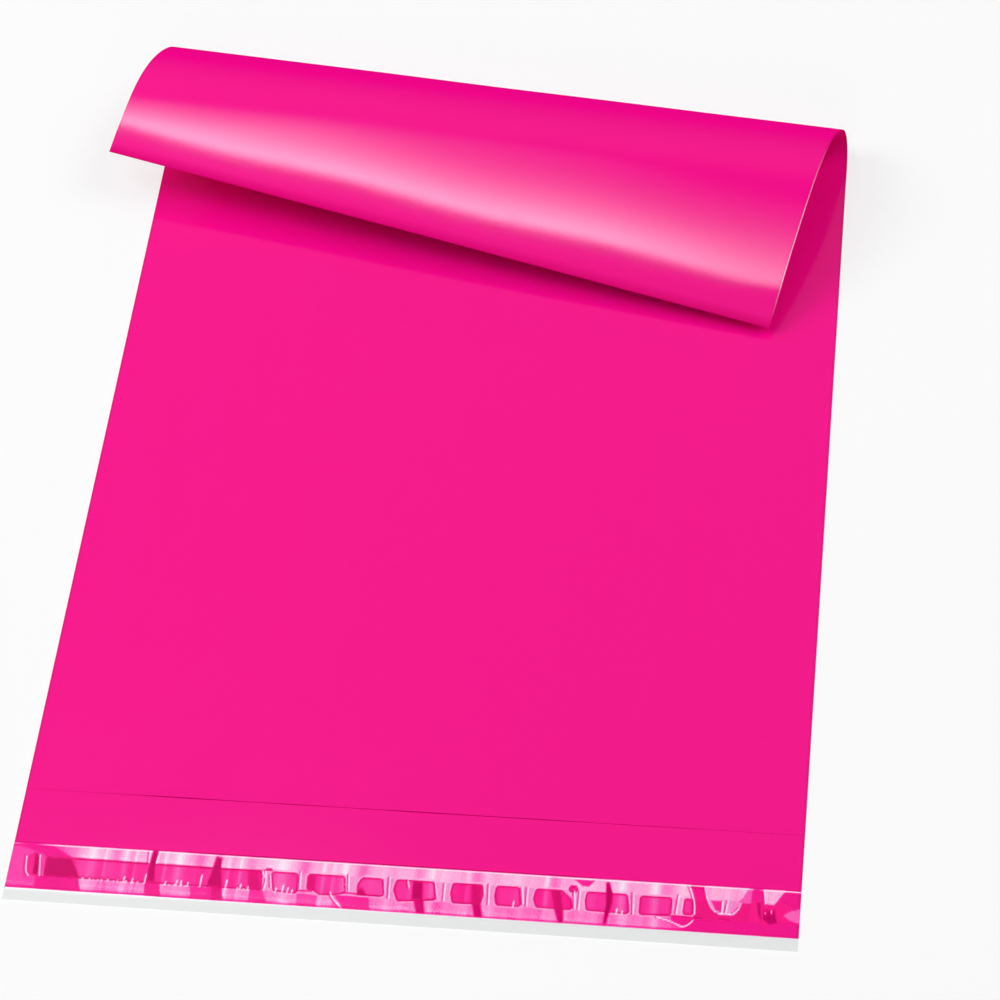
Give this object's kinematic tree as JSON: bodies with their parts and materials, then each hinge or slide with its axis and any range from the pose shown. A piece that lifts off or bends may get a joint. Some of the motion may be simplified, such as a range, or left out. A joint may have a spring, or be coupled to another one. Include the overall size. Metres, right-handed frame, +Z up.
{
  "type": "poly mailer bag",
  "caption": "Flat empty poly mailer in hot pink film, closed end rolled over, flap with an adhesive strip under a clear release liner.",
  "frame": {"origin": "middle of the mouth line, on the bag's flat underside", "axes": "+Z up, out of the front panel; +Y from the mouth towards the closed end, so the flap lies at -Y; +X across the bag"},
  "size_m": [0.2977, 0.3852, 0.0277],
  "materials": {
    "hot_pink_film": "smooth polyethylene film with a soft gloss",
    "clear_hot_melt": "tacky clear hot-melt adhesive",
    "clear_liner_film": "clear glossy film with blisters of air"
  },
  "bodies": {
    "root": {"bag_film": "hot_pink_film", "adhesive_strip": "clear_hot_melt", "release_liner": "clear_liner_film"}
  },
  "joints": []
}
